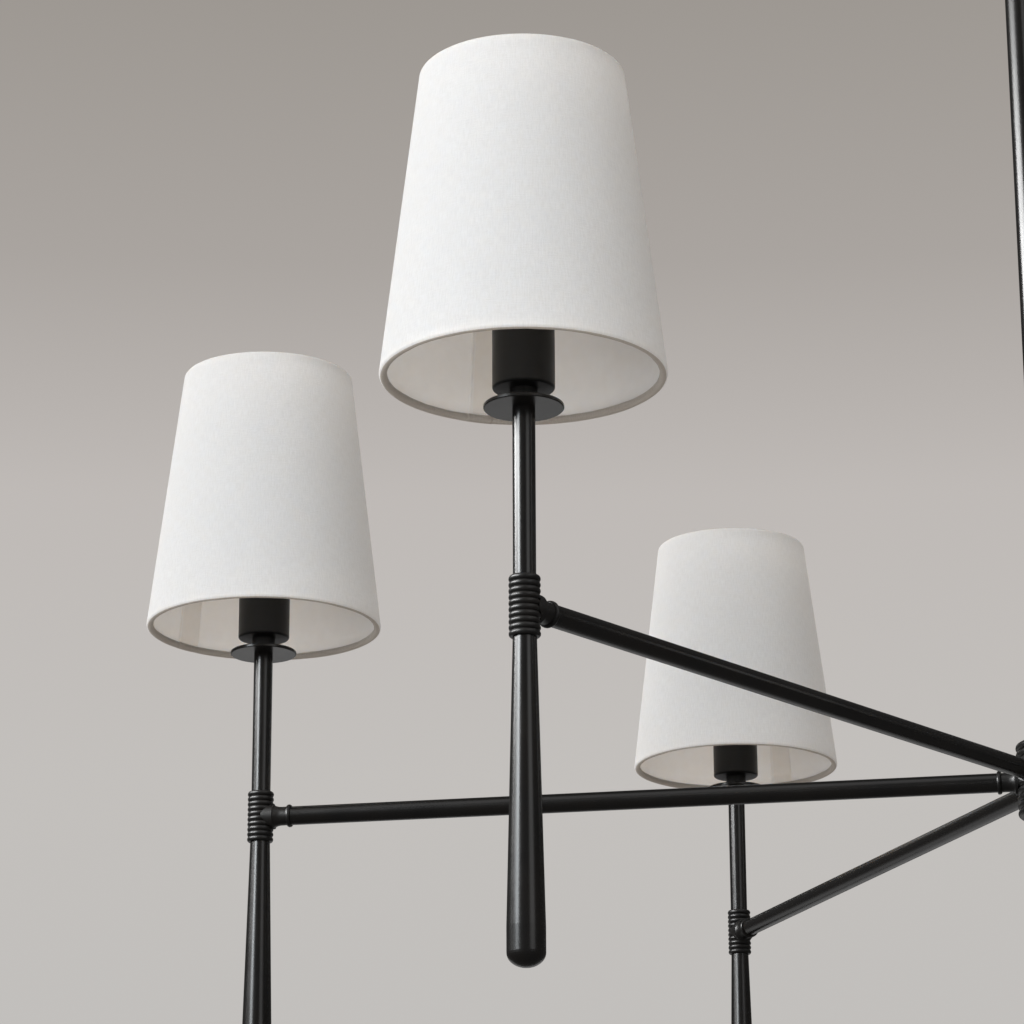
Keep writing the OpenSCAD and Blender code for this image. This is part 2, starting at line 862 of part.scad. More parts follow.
module wires() {
    run_start = block_d / 2 - block_entry;
    wire_top = disc_z + stem_thread_len + wire_pocket / 2;
    color(copper) {
        for (k = lamps) {
            at_arm(k)
                translate([0, 0, run_start])
                    cylinder(d = wire_d, h = reach - wire_bend - run_start);
            at_lamp(k) {
                translate([-wire_bend, 0, wire_bend])
                    rotate([90, 0, 0])
                        rotate_extrude(angle = -90)
                            translate([wire_bend, 0])
                                circle(d = wire_d);
                translate([0, 0, wire_bend])
                    cylinder(d = wire_d, h = wire_top - wire_bend);
            }
        }
        translate([0, 0, arm_z + block_low + block_h])
            cylinder(d = cable_d, h = pivot_z - arm_z - block_low - block_h);
    }
}

if (shown("mounting_strap")) mounting_strap();
if (shown("nipple")) nipple();
if (shown("canopy")) canopy();
if (shown("lock_ring")) lock_ring();
if (shown("swivel_head")) swivel_head();
if (shown("swivel_pins")) swivel_pins();
if (shown("swivel_knuckle")) swivel_knuckle();
if (shown("downrod")) downrod();
if (shown("hub")) hub();
if (shown("hub_baton")) hub_baton();
if (shown("terminal_block")) terminal_block();
if (shown("arm_bells")) arm_bells();
if (shown("drip_discs")) drip_discs();
if (shown("shade_ring_nuts")) shade_ring_nuts();
if (shown("bulb_caps")) bulb_caps();
if (shown("bulb_glass")) bulb_glass();
if (shown("wires")) wires();
for (k = lamps) {
    if (shown(str("arm_", k))) arm(k);
    if (shown(str("collar_", k))) collar(k);
    if (shown(str("stem_", k))) stem(k);
    if (shown(str("baton_", k))) baton(k);
    if (shown(str("socket_", k))) socket(k);
    if (shown(str("shade_", k))) shade(k);
    if (shown(str("shade_frame_", k))) shade_frame(k);
}
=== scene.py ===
"""Looks of a six-lamp chandelier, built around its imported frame.

Metres, +Z up. The origin is on the ceiling, at the middle of the canopy.
"""

import logging
import math
from collections.abc import Callable, Sequence
from dataclasses import dataclass, field
from enum import Enum

import bmesh
import bpy
import numpy as np
from mathutils import Matrix, Vector


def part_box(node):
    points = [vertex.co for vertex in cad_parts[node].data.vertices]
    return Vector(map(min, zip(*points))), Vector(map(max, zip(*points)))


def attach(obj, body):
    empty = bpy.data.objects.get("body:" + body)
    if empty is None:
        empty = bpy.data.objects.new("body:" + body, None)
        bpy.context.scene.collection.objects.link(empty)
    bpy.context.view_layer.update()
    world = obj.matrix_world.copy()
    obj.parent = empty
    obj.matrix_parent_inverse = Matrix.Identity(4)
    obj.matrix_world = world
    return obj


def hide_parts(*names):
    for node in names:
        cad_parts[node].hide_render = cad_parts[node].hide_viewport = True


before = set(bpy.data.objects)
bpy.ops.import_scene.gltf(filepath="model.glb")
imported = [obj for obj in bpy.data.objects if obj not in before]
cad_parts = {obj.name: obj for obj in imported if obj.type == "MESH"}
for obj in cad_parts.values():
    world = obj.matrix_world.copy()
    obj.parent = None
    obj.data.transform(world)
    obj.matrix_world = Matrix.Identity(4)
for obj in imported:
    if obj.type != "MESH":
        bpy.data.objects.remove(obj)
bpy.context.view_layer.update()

LOG = logging.getLogger("chandelier")
MM = 0.001
LAMPS = range(1, 7)
SEAMS_DEG = {1: 40.0, 2: 250.0, 3: 75.0, 4: 153.9, 5: 123.8, 6: 310.0}
WEAVE_UV = "weave"

# Colour sockets of a Mix node, by their place
MIX_FIRST, MIX_SECOND, MIX_RESULT = 6, 7, 2

Colour = tuple[float, float, float]
Point = tuple[float, float]
Uneven = Callable[[np.ndarray, np.ndarray, np.ndarray, np.ndarray], tuple[np.ndarray, np.ndarray]]


class Slot(Enum):
    """Names of material slots of the record; the script doesn't use them."""

    HOLDER = "black_plastic"
    LINEN = "linen"
    STEEL = "zinc_steel"


class Edge(Enum):
    """The two edges of a lampshade, with the sign of their direction along Z."""

    LOWER = -1
    UPPER = 1


class Yarn(Enum):
    """The two sets of threads in the linen, by the axis of the UV map that they run along."""

    WARP = "V"
    WEFT = "U"


class Octaves(Enum):
    """How many octaves a noise has."""

    FEW = 2.0
    SOME = 3.0
    MANY = 4.0
    MOST = 5.0


class Graph:
    """Shader nodes of one material, with short calls for the nodes used here."""

    def __init__(self, name: str) -> None:
        """Starts a material with one Principled shader.

        Args:
            name: Name of the material.
        """
        self.material = bpy.data.materials.new(name)
        self.material.use_nodes = True
        self.tree = self.material.node_tree
        self.shader = self.tree.nodes["Principled BSDF"]

    def set(self, **values: float | Sequence[float]) -> None:
        """Sets constant inputs of the shader, with _ for the spaces in their names.

        Args:
            **values: Input name to value.
        """
        for name, value in values.items():
            socket = self.shader.inputs[name.replace("_", " ")]
            socket.default_value = (*value, 1.0) if socket.type == "RGBA" else value

    def node(self, kind: str, **settings: object) -> bpy.types.Node:
        """Adds a node.

        Args:
            kind: Node type without its ShaderNode prefix.
            **settings: Properties of the node.

        Returns:
            The new node.
        """
        made = self.tree.nodes.new("ShaderNode" + kind)
        for name, value in settings.items():
            setattr(made, name, value)
        return made

    def link(self, source: bpy.types.NodeSocket, target: bpy.types.NodeSocket | str) -> None:
        """Links two sockets.

        Args:
            source: Output socket.
            target: Input socket, or the name of an input of the shader.
        """
        if isinstance(target, str):
            target = self.shader.inputs[target]
        self.tree.links.new(source, target)

    def place(self, scale: Sequence[float] = (1, 1, 1), uv: str = "") -> bpy.types.NodeSocket:
        """Gives scaled coordinates of the surface, in metres.

        Args:
            scale: Factors along the three axes.
            uv: UV map to read, or nothing for the piece's own frame.

        Returns:
            Vector socket.
        """
        mapping = self.node("Mapping")
        mapping.inputs["Scale"].default_value = scale
        if uv:
            self.link(self.node("UVMap", uv_map=uv).outputs["UV"], mapping.inputs["Vector"])
        else:
            self.link(self.node("TexCoord").outputs["Object"], mapping.inputs["Vector"])
        return mapping.outputs["Vector"]

    def noise(
        self, place: bpy.types.NodeSocket, scale: float, octaves: Octaves, grit: float = 0.5
    ) -> bpy.types.NodeSocket:
        """Adds a noise.

        Args:
            place: Coordinates.
            scale: Cells per unit of the coordinates.
            octaves: How rich it is.
            grit: Weight of the finer octaves.

        Returns:
            Value socket, about 0.5 on average.
        """
        made = self.node("TexNoise")
        made.inputs["Scale"].default_value = scale
        made.inputs["Detail"].default_value = octaves.value
        made.inputs["Roughness"].default_value = grit
        self.link(place, made.inputs["Vector"])
        return made.outputs["Fac"]

    def math(
        self, operation: str, a: bpy.types.NodeSocket, b: bpy.types.NodeSocket | float
    ) -> bpy.types.NodeSocket:
        """Adds a math node.

        Args:
            operation: Blender's name of the operation.
            a: First value.
            b: Second value or constant.

        Returns:
            Value socket.
        """
        made = self.node("Math", operation=operation)
        self.link(a, made.inputs[0])
        if isinstance(b, (int, float)):
            made.inputs[1].default_value = b
        else:
            self.link(b, made.inputs[1])
        return made.outputs[0]

    def spread(
        self, value: bpy.types.NodeSocket, low: float, high: float, reach: float = 0.25
    ) -> bpy.types.NodeSocket:
        """Maps the middle of a noise to a range.

        Args:
            value: Noise value.
            low: Result at 0.5 less the reach.
            high: Result at 0.5 and the reach.
            reach: How far from 0.5 the noise is used.

        Returns:
            Value socket.
        """
        made = self.node("MapRange")
        made.inputs["From Min"].default_value = 0.5 - reach
        made.inputs["From Max"].default_value = 0.5 + reach
        made.inputs["To Min"].default_value = low
        made.inputs["To Max"].default_value = high
        self.link(value, made.inputs["Value"])
        return made.outputs["Result"]

    def blend(self, share: bpy.types.NodeSocket, first: Colour, second: Colour) -> bpy.types.NodeSocket:
        """Mixes two colours.

        Args:
            share: Share of the second colour.
            first: Colour at 0.
            second: Colour at 1.

        Returns:
            Colour socket.
        """
        made = self.node("Mix", data_type="RGBA")
        made.inputs[MIX_FIRST].default_value = (*first, 1)
        made.inputs[MIX_SECOND].default_value = (*second, 1)
        self.link(share, made.inputs["Factor"])
        return made.outputs[MIX_RESULT]

    def bump(self, height: bpy.types.NodeSocket, depth: float) -> None:
        """Bumps the shader's normal.

        Args:
            height: Height value.
            depth: Height of a value of 1, in metres.
        """
        made = self.node("Bump")
        made.inputs["Distance"].default_value = depth
        self.link(height, made.inputs["Height"])
        self.link(made.outputs["Normal"], "Normal")


@dataclass(frozen=True)
class BronzeFinish:
    """Satin black bronze lacquer: nearly black, a little warmer in soft patches."""

    name: str = "satin_black_bronze"
    dark: Colour = (0.005, 0.005, 0.0052)
    warm: Colour = (0.0085, 0.0072, 0.0062)
    smooth: float = 0.23
    rough: float = 0.27
    patch_scale: float = 45.0
    haze_scale: float = 60.0
    peel_scale: float = 600.0
    peel_depth: float = 0.0002 * MM
    patch_grit: float = 0.6
    gloss: float = 0.5

    def material(self) -> bpy.types.Material:
        """Makes the material.

        Returns:
            The material.
        """
        graph = Graph(self.name)
        place = graph.place()
        patches = graph.noise(place, self.patch_scale, Octaves.MANY, self.patch_grit)
        graph.link(graph.blend(graph.spread(patches, 0, 1), self.dark, self.warm), "Base Color")
        haze = graph.noise(place, self.haze_scale, Octaves.FEW)
        graph.link(graph.spread(haze, self.smooth, self.rough), "Roughness")
        graph.bump(graph.noise(place, self.peel_scale, Octaves.FEW), self.peel_depth)
        graph.set(Specular_IOR_Level=self.gloss)
        return graph.material


@dataclass(frozen=True)
class HolderFinish:
    """Matte black moulded plastic with a fine spark-eroded grain."""

    name: str = "matte_black_holder"
    dark: Colour = (0.0055, 0.0054, 0.0052)
    light: Colour = (0.0078, 0.0076, 0.0073)
    smooth: float = 0.38
    rough: float = 0.48
    gloss: float = 0.36
    grain_scale: float = 3200.0
    grain_depth: float = 0.02 * MM
    patch_scale: float = 120.0

    def material(self) -> bpy.types.Material:
        """Makes the material.

        Returns:
            The material.
        """
        graph = Graph(self.name)
        place = graph.place()
        patches = graph.noise(place, self.patch_scale, Octaves.MANY)
        graph.link(graph.blend(graph.spread(patches, 0, 1), self.dark, self.light), "Base Color")
        graph.link(graph.spread(patches, self.smooth, self.rough), "Roughness")
        graph.bump(graph.noise(place, self.grain_scale, Octaves.FEW), self.grain_depth)
        graph.set(Specular_IOR_Level=self.gloss)
        return graph.material


@dataclass(frozen=True)
class LinenFinish:
    """White linen: plain weave of uneven threads, with slubs along both directions."""

    name: str = "white_linen"
    uv: str = WEAVE_UV
    thread: Colour = (0.86, 0.86, 0.855)
    gap: Colour = (0.735, 0.73, 0.72)
    thread_pitch: float = 0.52 * MM
    thread_depth: float = 0.11 * MM
    slub_width: float = 0.62 * MM
    slub_length: float = 6 * MM
    slub_reach: float = 0.13
    weave_share: float = 0.45
    warp_share: float = 0.4
    weft_share: float = 0.2
    wander: float = 0.16 * MM
    slub_grit: float = 0.6
    weave_relief: float = 0.55
    slub_relief: float = 0.9
    roughness: float = 0.9
    gloss: float = 0.25
    fuzz: float = 0.12
    fuzz_roughness: float = 0.6
    glow: Colour = (1.0, 0.9, 0.8)
    glow_depth: float = 3 * MM
    glow_share: float = 0.9

    def threads(self, graph: Graph, across: bpy.types.NodeSocket) -> bpy.types.NodeSocket:
        """Rounds a coordinate into parallel threads.

        Args:
            graph: Material to add to.
            across: Coordinate across the threads, in metres.

        Returns:
            Value socket: 0 between two threads, 1 on a thread.
        """
        turns = graph.math("MULTIPLY", across, math.tau / self.thread_pitch)
        wave = graph.math("SINE", turns, 0.0)
        half = graph.math("MULTIPLY", wave, 0.5)
        return graph.math("ADD", half, 0.5)

    def slubs(self, graph: Graph, yarn: Yarn) -> bpy.types.NodeSocket:
        """Long thin noise along one set of threads.

        Args:
            graph: Material to add to.
            yarn: The threads that it runs along.

        Returns:
            Value socket.
        """
        fine, coarse = 1 / self.slub_width, 1 / self.slub_length
        scale = (coarse, fine, 1) if yarn is Yarn.WEFT else (fine, coarse, 1)
        return graph.noise(graph.place(scale, self.uv), 1.0, Octaves.SOME, self.slub_grit)

    def material(self) -> bpy.types.Material:
        """Makes the material.

        Returns:
            The material.
        """
        graph = Graph(self.name)
        warp_slub, weft_slub = self.slubs(graph, Yarn.WARP), self.slubs(graph, Yarn.WEFT)
        cloth = graph.node("SeparateXYZ")
        graph.link(graph.place(uv=self.uv), cloth.inputs["Vector"])
        bend_u = graph.math("ADD", cloth.outputs["X"], graph.math("MULTIPLY", warp_slub, self.wander))
        bend_v = graph.math("ADD", cloth.outputs["Y"], graph.math("MULTIPLY", weft_slub, self.wander))
        weave = graph.math("MULTIPLY", self.threads(graph, bend_u), self.threads(graph, bend_v))
        slubs = graph.math("ADD", warp_slub, weft_slub)
        woven = graph.math("MULTIPLY", weave, self.weave_relief)
        height = graph.math("ADD", woven, graph.math("MULTIPLY", slubs, self.slub_relief))
        warp = graph.spread(warp_slub, 0, self.warp_share, self.slub_reach)
        weft = graph.spread(weft_slub, 0, self.weft_share, self.slub_reach)
        even = graph.math("MULTIPLY", weave, self.weave_share)
        solid = graph.math("ADD", even, graph.math("ADD", warp, weft))
        graph.link(graph.blend(solid, self.gap, self.thread), "Base Color")
        graph.bump(height, self.thread_depth)
        graph.set(Roughness=self.roughness, Specular_IOR_Level=self.gloss)
        graph.set(Sheen_Weight=self.fuzz, Sheen_Roughness=self.fuzz_roughness)
        graph.set(Subsurface_Weight=self.glow_share, Subsurface_Radius=self.glow)
        graph.set(Subsurface_Scale=self.glow_depth)
        return graph.material


@dataclass(frozen=True)
class LinerFinish:
    """White styrene liner inside a shade, faintly mottled where it is glued to the linen."""

    name: str = "shade_liner"
    light: Colour = (0.91, 0.9, 0.89)
    mottled: Colour = (0.88, 0.865, 0.85)
    mottle_scale: float = 160.0
    grain_scale: float = 1100.0
    grain_depth: float = 0.02 * MM
    roughness: float = 0.6
    gloss: float = 0.35
    glow: Colour = (1.0, 0.9, 0.8)
    glow_depth: float = 3 * MM
    glow_share: float = 0.9

    def material(self) -> bpy.types.Material:
        """Makes the material.

        Returns:
            The material.
        """
        graph = Graph(self.name)
        place = graph.place()
        mottle = graph.noise(place, self.mottle_scale, Octaves.MANY)
        graph.link(graph.blend(graph.spread(mottle, 0, 1), self.light, self.mottled), "Base Color")
        graph.bump(graph.noise(place, self.grain_scale, Octaves.SOME), self.grain_depth)
        graph.set(Roughness=self.roughness, Specular_IOR_Level=self.gloss)
        graph.set(Subsurface_Weight=self.glow_share, Subsurface_Radius=self.glow)
        graph.set(Subsurface_Scale=self.glow_depth)
        return graph.material


@dataclass(frozen=True)
class SteelFinish:
    """Zinc-plated steel with fine brushing and cloudy passivation."""

    name: str = "zinc_steel"
    light: Colour = (0.56, 0.56, 0.55)
    cloudy: Colour = (0.47, 0.465, 0.44)
    smooth: float = 0.26
    rough: float = 0.42
    cloud_scale: float = 70.0
    brush_scale: tuple[float, float, float] = (40.0, 2600.0, 2600.0)
    brush_depth: float = 0.006 * MM
    cloud_grit: float = 0.6

    def material(self) -> bpy.types.Material:
        """Makes the material.

        Returns:
            The material.
        """
        graph = Graph(self.name)
        clouds = graph.noise(graph.place(), self.cloud_scale, Octaves.MOST, self.cloud_grit)
        graph.link(graph.blend(graph.spread(clouds, 0, 1), self.light, self.cloudy), "Base Color")
        brush = graph.noise(graph.place(self.brush_scale), 1.0, Octaves.FEW)
        graph.link(graph.spread(brush, self.smooth, self.rough), "Roughness")
        graph.bump(brush, self.brush_depth)
        graph.set(Metallic=1.0)
        return graph.material


@dataclass(frozen=True)
class CoatFinish:
    """Plain moulded or dipped coating: white wire, wire insulation, the terminal block."""

    name: str
    light: Colour
    dull: Colour
    roughness: float
    patch_scale: float = 200.0
    grain_scale: float = 1600.0
    grain_depth: float = 0.015 * MM

    def material(self) -> bpy.types.Material:
        """Makes the material.

        Returns:
            The material.
        """
        graph = Graph(self.name)
        place = graph.place()
        patches = graph.noise(place, self.patch_scale, Octaves.MANY)
        graph.link(graph.blend(graph.spread(patches, 0, 1), self.light, self.dull), "Base Color")
        graph.bump(graph.noise(place, self.grain_scale, Octaves.FEW), self.grain_depth)
        graph.set(Roughness=self.roughness)
        return graph.material


@dataclass(frozen=True)
class OpalFinish:
    """Opal glass of an unlit bulb: milky, with a glossy skin and faint streaks."""

    name: str = "opal_glass"
    milk: Colour = (0.88, 0.865, 0.83)
    streak: Colour = (0.83, 0.81, 0.77)
    streak_scale: tuple[float, float, float] = (60.0, 60.0, 12.0)
    smooth: float = 0.1
    rough: float = 0.16
    skin: float = 0.5
    skin_roughness: float = 0.04

    def material(self) -> bpy.types.Material:
        """Makes the material.

        Returns:
            The material.
        """
        graph = Graph(self.name)
        streaks = graph.noise(graph.place(self.streak_scale), 1.0, Octaves.MANY)
        graph.link(graph.blend(graph.spread(streaks, 0, 1), self.milk, self.streak), "Base Color")
        graph.link(graph.spread(streaks, self.smooth, self.rough), "Roughness")
        graph.set(Coat_Weight=self.skin, Coat_Roughness=self.skin_roughness)
        return graph.material


@dataclass
class Finishes:
    """Every material of the object, made once."""

    bronze: bpy.types.Material = field(default_factory=lambda: BronzeFinish().material())
    ribbed: bpy.types.Material = field(
        default_factory=lambda: BronzeFinish("ribbed_bronze", smooth=0.35, rough=0.43).material()
    )
    holder: bpy.types.Material = field(default_factory=lambda: HolderFinish().material())
    linen: bpy.types.Material = field(default_factory=lambda: LinenFinish().material())
    liner: bpy.types.Material = field(default_factory=lambda: LinerFinish().material())
    # hem: darker taupe linen, painted shade on the downward-facing arc of each hem roll; its smaller glow
    # share stands for the doubled cloth letting less light through
    hem: bpy.types.Material = field(
        default_factory=lambda: LinenFinish(
            "hem_linen_painted_shade", thread=(0.576, 0.528, 0.479), gap=(0.45, 0.411, 0.367), glow_share=0.3
        ).material()
    )
    # lap: liner a little darker, painted shade on the lapped stretch beside the seam
    lap: bpy.types.Material = field(
        default_factory=lambda: LinerFinish("liner_lap_painted_shade", (0.875, 0.85, 0.825), (0.84, 0.81, 0.78)).material()
    )
    steel: bpy.types.Material = field(default_factory=lambda: SteelFinish().material())
    opal: bpy.types.Material = field(default_factory=lambda: OpalFinish().material())
    cap: bpy.types.Material = field(
        default_factory=lambda: SteelFinish(
            "bulb_cap", (0.7, 0.69, 0.66), (0.6, 0.585, 0.55), smooth=0.16, rough=0.3
        ).material()
    )
    wire: bpy.types.Material = field(
        default_factory=lambda: CoatFinish(
            "white_wire", (0.78, 0.77, 0.74), (0.7, 0.69, 0.655), roughness=0.35
        ).material()
    )
    cover: bpy.types.Material = field(
        default_factory=lambda: CoatFinish(
            "wire_cover", (0.03, 0.03, 0.03), (0.022, 0.022, 0.021), roughness=0.5
        ).material()
    )
    block: bpy.types.Material = field(
        default_factory=lambda: CoatFinish(
            "terminal_block", (0.78, 0.77, 0.74), (0.72, 0.7, 0.66), roughness=0.45
        ).material()
    )

    def dress(self, material: bpy.types.Material, *nodes: str) -> None:
        """Gives CAD nodes a finish.

        Args:
            material: The finish.
            *nodes: Names of CAD nodes.
        """
        for name in nodes:
            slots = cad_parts[name].data.materials
            slots.clear()
            slots.append(material)
            LOG.info("%s: %s", name, material.name)


@dataclass
class Lathe:
    """A mesh turned about a vertical axis from a closed outline, with room for uneven places."""

    name: str
    outline: list[Point]
    angles: np.ndarray
    parts: list[int] = field(default_factory=list)
    uneven: Uneven | None = None

    def stations(self) -> np.ndarray:
        """Measures the outline.

        Returns:
            Lengths along it at its points, closed at the end.
        """
        points = np.array([*self.outline, self.outline[0]])
        steps = np.linalg.norm(np.diff(points, axis=0), axis=1)
        return np.concatenate([[0], np.cumsum(steps)])

    def build(self, centre: Vector, uv: str = "") -> bpy.types.Object:
        """Makes the object.

        Args:
            centre: Point on the axis, where the outline's heights count from.
            uv: UV map to write, in metres round and along the outline.

        Returns:
            The new object, linked to the scene.
        """
        outline = np.array(self.outline)
        columns, rows = len(self.angles), len(outline)
        turn = np.repeat(self.angles, rows)
        row = np.tile(np.arange(rows), columns)
        r, z = outline[row, 0], outline[row, 1]
        if self.uneven:
            r, z = self.uneven(turn, row, r, z)
        points = np.stack([centre.x + r * np.cos(turn), centre.y + r * np.sin(turn), centre.z + z], axis=1)
        faces = [
            (c * rows + i, (c + 1) % columns * rows + i,
             (c + 1) % columns * rows + (i + 1) % rows, c * rows + (i + 1) % rows)
            for c in range(columns) for i in range(rows)
        ]
        mesh = bpy.data.meshes.new(self.name)
        mesh.from_pydata(points.tolist(), [], faces)
        mesh.polygons.foreach_set("use_smooth", [True] * len(faces))
        if self.parts:
            mesh.polygons.foreach_set("material_index", self.parts * columns)
        if uv:
            self.unroll(mesh, uv, columns, rows)
        mesh.validate()
        return linked(self.name, mesh)

    def unroll(self, mesh: bpy.types.Mesh, uv: str, columns: int, rows: int) -> None:
        """Writes a UV map in metres.

        Args:
            mesh: Mesh whose faces run column by column.
            uv: Name of the map.
            columns: Number of columns.
            rows: Number of outline points.
        """
        radius = float(np.mean([p[0] for p in self.outline]))
        along = self.stations()
        turns = np.concatenate([self.angles, [self.angles[0] + math.tau]]) * radius
        c = np.repeat(np.arange(columns), rows)
        i = np.tile(np.arange(rows), columns)
        u = np.stack([turns[c], turns[c + 1], turns[c + 1], turns[c]], axis=1)
        v = np.stack([along[i], along[i], along[i + 1], along[i + 1]], axis=1)
        layer = mesh.uv_layers.new(name=uv)
        layer.data.foreach_set("uv", np.stack([u, v], axis=2).ravel())


def arc(centre: Point, radius: float, start: float, end: float, steps: int) -> list[Point]:
    """Points of an arc.

    Args:
        centre: Centre of the arc.
        radius: Its radius.
        start: First angle in degrees.
        end: Last angle in degrees.
        steps: Number of steps.

    Returns:
        The points, both ends included.
    """
    angles = np.radians(np.linspace(start, end, steps + 1))
    return [(centre[0] + radius * math.cos(a), centre[1] + radius * math.sin(a)) for a in angles]


def linked(name: str, mesh: bpy.types.Mesh) -> bpy.types.Object:
    """Puts a mesh into the scene.

    Args:
        name: Name of the object.
        mesh: Its mesh.

    Returns:
        The object.
    """
    made = bpy.data.objects.new(name, mesh)
    bpy.context.scene.collection.objects.link(made)
    return made


def joined(name: str, pieces: Sequence[bpy.types.Object]) -> bpy.types.Object:
    """Makes one object of several that sit at the origin.

    Args:
        name: Name of the whole.
        pieces: Objects to join, which are removed.

    Returns:
        The whole.
    """
    whole = bmesh.new()
    for piece in pieces:
        whole.from_mesh(piece.data)
        bpy.data.objects.remove(piece)
    mesh = bpy.data.meshes.new(name)
    whole.to_mesh(mesh)
    whole.free()
    return linked(name, mesh)


def lamp_axis(number: int, z: float) -> Vector:
    """Point on a lamp's axis.

    Args:
        number: Number of the lamp.
        z: Height of the point.

    Returns:
        The point.
    """
    low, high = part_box(f"shade_{number}")
    return Vector(((low.x + high.x) / 2, (low.y + high.y) / 2, z))


@dataclass
class Thread:
    """A rolled screw thread: a ridge that winds up a plain shank and runs out at both ends."""

    name: str
    radius: float
    length: float
    pitch: float
    depth: float
    sink: float = 0.06 * MM
    root_share: float = 0.42
    crest_share: float = 0.1
    run_out_turns: float = 0.4
    least_rise: float = 0.05
    turn_steps: int = 28

    def build(self, foot: Vector) -> bpy.types.Object:
        """Makes the ridge.

        Args:
            foot: Point on the axis, level with the ridge's start.

        Returns:
            The ridge.
        """
        turns = self.length / self.pitch
        along = np.linspace(0, turns, round(turns * self.turn_steps) + 1)
        from_end = np.minimum(along, turns - along)
        rise = np.clip(from_end / self.run_out_turns, self.least_rise, 1)[:, None]
        root, crest = self.root_share * self.pitch, self.crest_share * self.pitch
        r = self.radius - self.sink + np.array([0, 1, 1, 0]) * (self.depth + self.sink) * rise
        z = foot.z + along[:, None] * self.pitch + np.array([-root, -crest, crest, root]) * rise
        angle = along[:, None] * math.tau
        points = np.stack([foot.x + r * np.cos(angle), foot.y + r * np.sin(angle), z], axis=2)
        sides = len(r[0])
        last = sides * (len(along) - 1)
        faces = [
            (k + i, k + sides + i, k + sides + (i + 1) % sides, k + (i + 1) % sides)
            for k in range(0, last, sides) for i in range(sides)
        ]
        faces += [tuple(range(sides)), tuple(last + i for i in reversed(range(sides)))]
        mesh = bpy.data.meshes.new(self.name)
        mesh.from_pydata(points.reshape(-1, 3).tolist(), [], faces)
        mesh.validate()
        return linked(self.name, mesh)


def ripple(turn: np.ndarray, waves: Sequence[tuple[int, float]], seed: int) -> np.ndarray:
    """A smooth uneven line round a ring.

    Args:
        turn: Angles in radians.
        waves: Waves per turn and their heights.
        seed: Seed of their phases.

    Returns:
        The height at each angle.
    """
    phases = np.random.default_rng(seed).uniform(0, math.tau, len(waves))
    return sum(h * np.sin(n * turn + p) for (n, h), p in zip(waves, phases))


class Cloth(Enum):
    """Stretches of a lampshade's skin, in the order of its material slots."""

    LINEN = 0
    LINER = 1
    # Painted shade on the underside of a hem roll
    HEM_SHADE = 2
    # Painted shade on the lap of the liner beside the seam
    LAP_SHADE = 3


